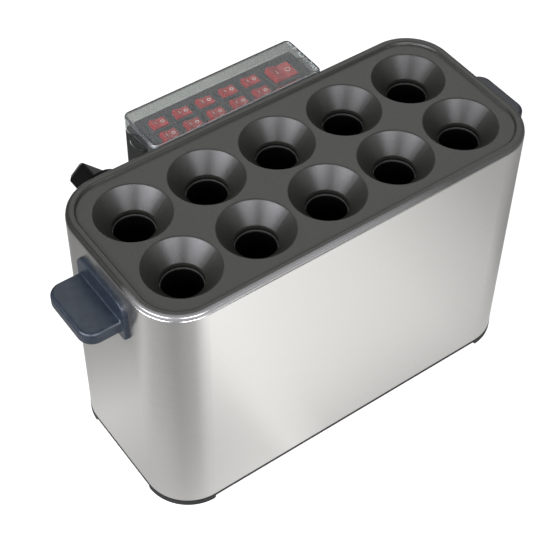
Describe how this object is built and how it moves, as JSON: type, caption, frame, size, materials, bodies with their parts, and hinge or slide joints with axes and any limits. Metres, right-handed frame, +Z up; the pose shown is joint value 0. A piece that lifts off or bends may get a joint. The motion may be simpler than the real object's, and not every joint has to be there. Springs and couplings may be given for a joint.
{
  "type": "egg sausage maker",
  "caption": "Countertop egg sausage maker: a coated mould plate with funnels over upright cooking tubes, in a stainless housing with side handles and a switch box under a clear cover.",
  "frame": {"origin": "on the surface the feet stand on, under the middle of the whole appliance's outline", "axes": "+X to the right along the rows of funnels seen from the front, +Y to the rear where the switch box is, +Z up"},
  "size_m": [0.452, 0.2238, 0.2541],
  "materials": {
    "coated_casting": "matt dark grey non-stick coating",
    "tube_steel": "drawn tube, dark coated inside",
    "heater_steel": "rolled strip, slightly heat tinted",
    "plain_steel": "bright zinc",
    "stainless_steel": "brushed, satin",
    "dark_coated_steel": "matt black paint",
    "foot_rubber": "matt black",
    "handle_plastic": "fine moulded grain",
    "black_plastic": "satin black",
    "panel_plastic": "satin grey",
    "frame_plastic": "black, slightly glossy",
    "red_plastic": "glossy translucent red",
    "clear_plastic": "clear, polished",
    "thermostat_metal": "plated",
    "knob_plastic": "satin black",
    "cream_plastic": "matt cream"
  },
  "bodies": {
    "frame": {"mould_plate": "coated_casting", "funnels_front": "coated_casting", "funnels_rear": "coated_casting", "cooking_tube_front_1": "tube_steel", "cooking_tube_front_2": "tube_steel", "cooking_tube_front_3": "tube_steel", "cooking_tube_front_4": "tube_steel", "cooking_tube_front_5": "tube_steel", "cooking_tube_rear_1": "tube_steel", "cooking_tube_rear_2": "tube_steel", "cooking_tube_rear_3": "tube_steel", "cooking_tube_rear_4": "tube_steel", "cooking_tube_rear_5": "tube_steel", "heater_bands_front": "heater_steel", "heater_bands_rear": "heater_steel", "tube_carrier": "plain_steel", "tie_rods": "plain_steel", "tie_rod_nuts": "plain_steel", "housing": "stainless_steel", "base_plate": "dark_coated_steel", "base_screws": "plain_steel", "foot_front_left": "foot_rubber", "foot_front_right": "foot_rubber", "foot_rear_left": "foot_rubber", "foot_rear_right": "foot_rubber", "handle_left": "handle_plastic", "handle_right": "handle_plastic", "handle_screws": "plain_steel", "switch_box": "black_plastic", "switch_box_screws": "plain_steel", "switch_panel": "panel_plastic", "switch_frames_front": "frame_plastic", "switch_frames_rear": "frame_plastic", "main_switch_frame": "frame_plastic", "thermostat_body": "thermostat_metal", "thermostat_nut": "plain_steel", "cable_gland": "black_plastic", "gland_nut": "black_plastic", "terminal_block": "cream_plastic", "terminal_screws": "plain_steel"},
    "rocker_front_1": {"rocker_front_1": "red_plastic"},
    "rocker_front_2": {"rocker_front_2": "red_plastic"},
    "rocker_front_3": {"rocker_front_3": "red_plastic"},
    "rocker_front_4": {"rocker_front_4": "red_plastic"},
    "rocker_front_5": {"rocker_front_5": "red_plastic"},
    "rocker_rear_1": {"rocker_rear_1": "red_plastic"},
    "rocker_rear_2": {"rocker_rear_2": "red_plastic"},
    "rocker_rear_3": {"rocker_rear_3": "red_plastic"},
    "rocker_rear_4": {"rocker_rear_4": "red_plastic"},
    "rocker_rear_5": {"rocker_rear_5": "red_plastic"},
    "main_rocker": {"main_rocker": "red_plastic"},
    "switch_cover": {"switch_cover": "clear_plastic"},
    "thermostat_knob": {"thermostat_knob": "knob_plastic", "thermostat_shaft": "plain_steel"}
  },
  "joints": [
    {"name": "rocker_front_1_hinge", "type": "hinge", "parent": "frame", "child": "rocker_front_1", "pos_m": [-0.064, 0.0739, 0.2396], "axis": [0, -1, 0], "range_deg": [0, 18]},
    {"name": "rocker_front_2_hinge", "type": "hinge", "parent": "frame", "child": "rocker_front_2", "pos_m": [-0.0404, 0.0739, 0.2396], "axis": [0, -1, 0], "range_deg": [0, 18]},
    {"name": "rocker_front_3_hinge", "type": "hinge", "parent": "frame", "child": "rocker_front_3", "pos_m": [-0.0168, 0.0739, 0.2396], "axis": [0, -1, 0], "range_deg": [0, 18]},
    {"name": "rocker_front_4_hinge", "type": "hinge", "parent": "frame", "child": "rocker_front_4", "pos_m": [0.0068, 0.0739, 0.2396], "axis": [0, -1, 0], "range_deg": [0, 18]},
    {"name": "rocker_front_5_hinge", "type": "hinge", "parent": "frame", "child": "rocker_front_5", "pos_m": [0.0304, 0.0739, 0.2396], "axis": [0, -1, 0], "range_deg": [0, 18]},
    {"name": "rocker_rear_1_hinge", "type": "hinge", "parent": "frame", "child": "rocker_rear_1", "pos_m": [-0.064, 0.0913, 0.2396], "axis": [0, -1, 0], "range_deg": [0, 18]},
    {"name": "rocker_rear_2_hinge", "type": "hinge", "parent": "frame", "child": "rocker_rear_2", "pos_m": [-0.0404, 0.0913, 0.2396], "axis": [0, -1, 0], "range_deg": [0, 18]},
    {"name": "rocker_rear_3_hinge", "type": "hinge", "parent": "frame", "child": "rocker_rear_3", "pos_m": [-0.0168, 0.0913, 0.2396], "axis": [0, -1, 0], "range_deg": [0, 18]},
    {"name": "rocker_rear_4_hinge", "type": "hinge", "parent": "frame", "child": "rocker_rear_4", "pos_m": [0.0068, 0.0913, 0.2396], "axis": [0, -1, 0], "range_deg": [0, 18]},
    {"name": "rocker_rear_5_hinge", "type": "hinge", "parent": "frame", "child": "rocker_rear_5", "pos_m": [0.0304, 0.0913, 0.2396], "axis": [0, -1, 0], "range_deg": [0, 18]},
    {"name": "main_rocker_hinge", "type": "hinge", "parent": "frame", "child": "main_rocker", "pos_m": [0.0594, 0.0849, 0.2396], "axis": [0, -1, 0], "range_deg": [0, 18]},
    {"name": "switch_cover_lift", "type": "slide", "parent": "frame", "child": "switch_cover", "axis": [0, 0, 1], "range_m": [0, 0.03]},
    {"name": "thermostat_turn", "type": "hinge", "parent": "frame", "child": "thermostat_knob", "pos_m": [-0.1355, 0.0741, 0.226], "axis": [0, -1, 0], "range_deg": [0, 270]}
  ]
}
